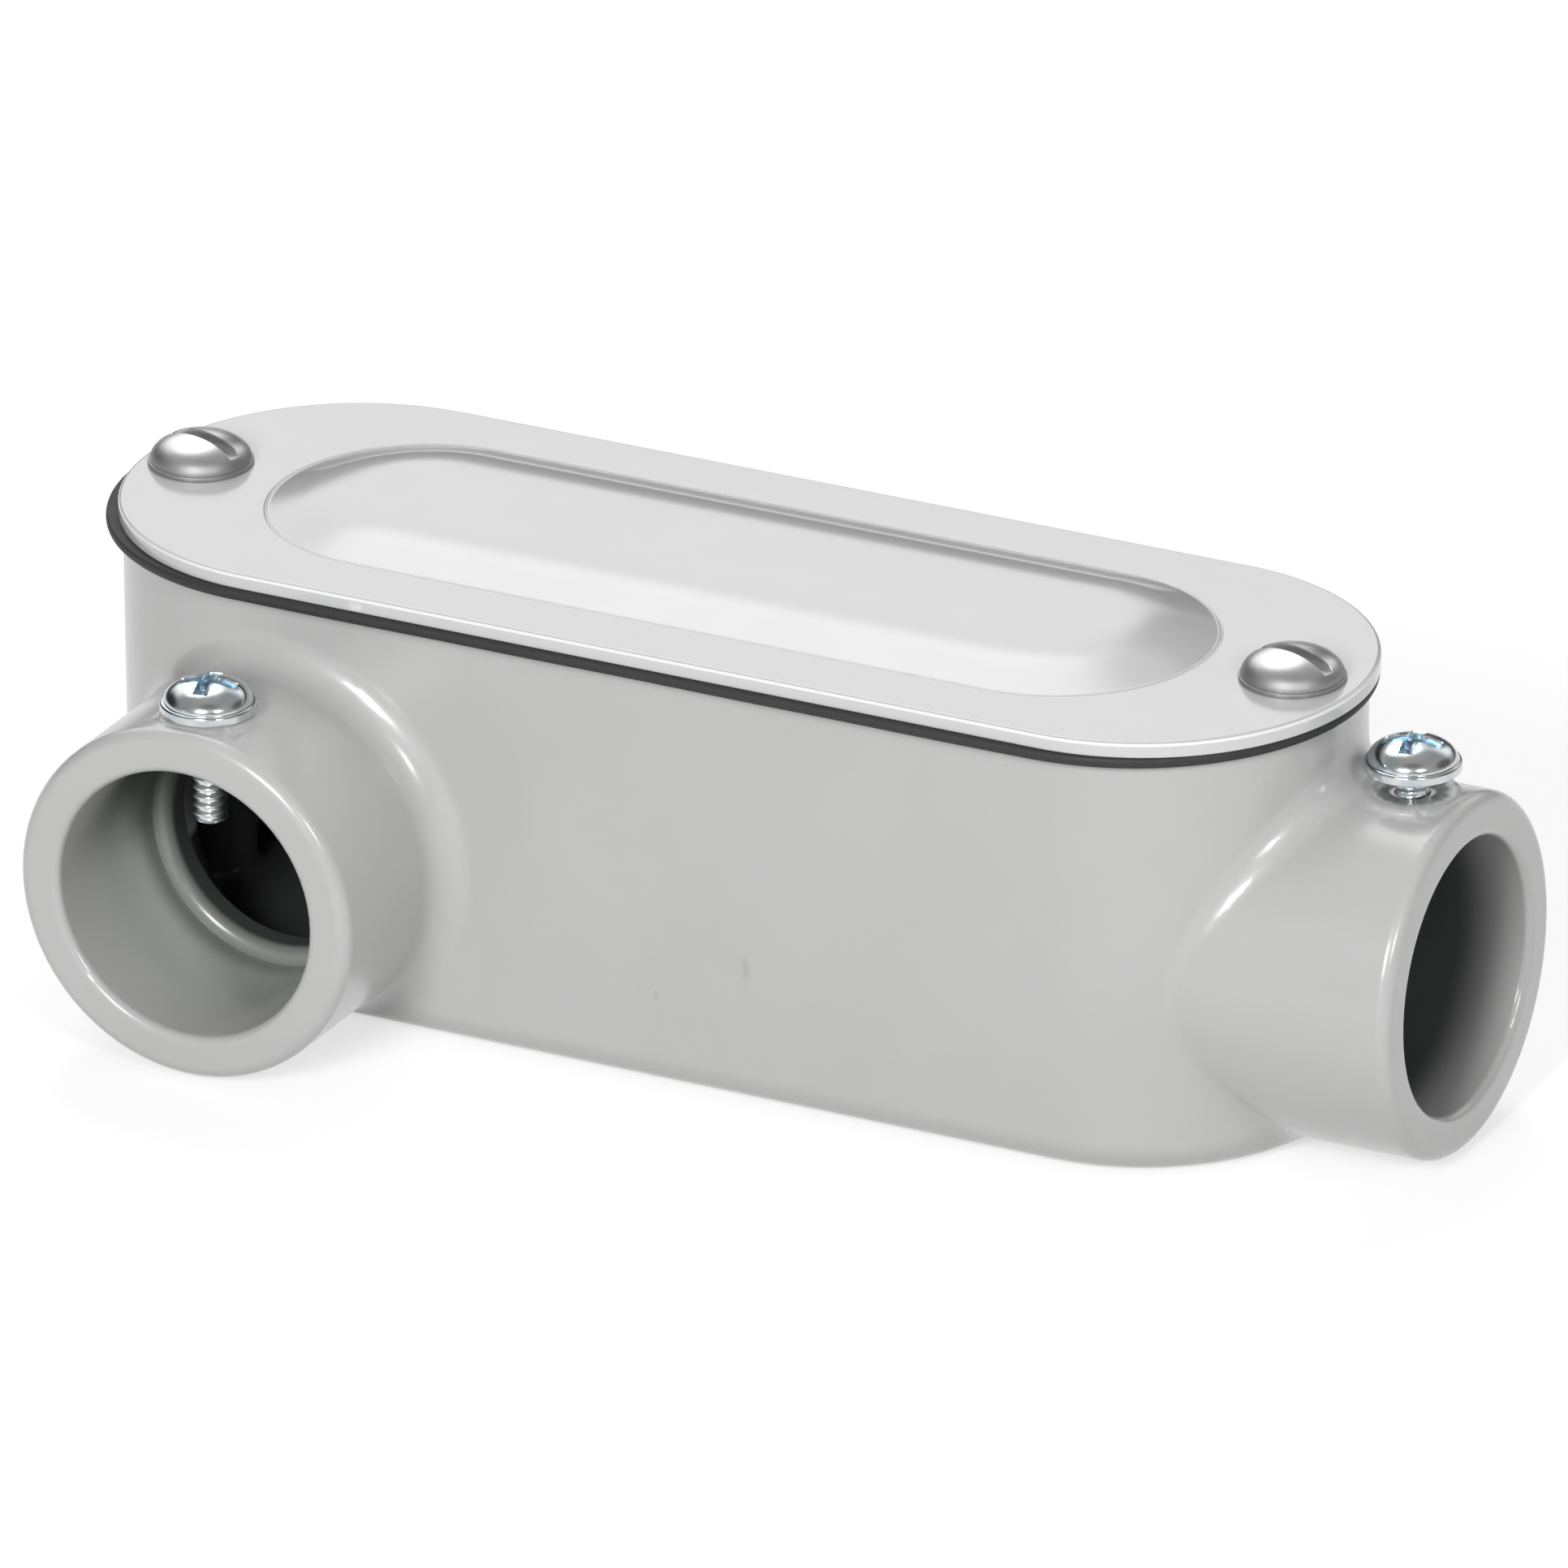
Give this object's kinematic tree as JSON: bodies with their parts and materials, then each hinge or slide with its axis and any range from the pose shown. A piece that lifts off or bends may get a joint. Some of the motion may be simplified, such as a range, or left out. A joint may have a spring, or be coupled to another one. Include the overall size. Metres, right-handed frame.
{
  "type": "lr conduit body",
  "caption": "Cast L-shaped conduit fitting: a round-ended box with set-screw tube hubs on its end and side, under a gasketed screw-on cover.",
  "frame": {"origin": "middle of the round-ended box's flat back face", "axes": "+X along the box towards the end hub, -Y out of the side hub, +Z out of the cover"},
  "size_m": [0.1284, 0.0565, 0.0434],
  "materials": {
    "casting_paint": "gloss",
    "cover_paint": "satin",
    "gasket_rubber": "matte",
    "polished_screw": "polished",
    "zinc_screw": "satin"
  },
  "bodies": {
    "casting": {"body_casting": "casting_paint", "cover_gasket": "gasket_rubber"},
    "cover": {"cover_plate": "cover_paint"},
    "blind_end_cover_screw": {"cover_screw_blind_end": "polished_screw"},
    "hub_end_cover_screw": {"cover_screw_hub_end": "polished_screw"},
    "end_set_screw": {"set_screw_end_hub": "zinc_screw"},
    "side_set_screw": {"set_screw_side_hub": "zinc_screw"}
  },
  "joints": [
    {"name": "cover_lift", "type": "slide", "parent": "casting", "child": "cover", "axis": [0, 0, 1], "range_m": [0, 0.025]},
    {"name": "blind_end_cover_screw_travel", "type": "slide", "parent": "cover", "child": "blind_end_cover_screw", "axis": [0, 0, 1], "range_m": [0, 0.01]},
    {"name": "hub_end_cover_screw_travel", "type": "slide", "parent": "cover", "child": "hub_end_cover_screw", "axis": [0, 0, 1], "range_m": [0, 0.01]},
    {"name": "end_set_screw_travel", "type": "slide", "parent": "casting", "child": "end_set_screw", "axis": [0, 0, 1], "range_m": [-0.002, 0.005]},
    {"name": "side_set_screw_travel", "type": "slide", "parent": "casting", "child": "side_set_screw", "axis": [0, 0, 1], "range_m": [0, 0.007]}
  ]
}
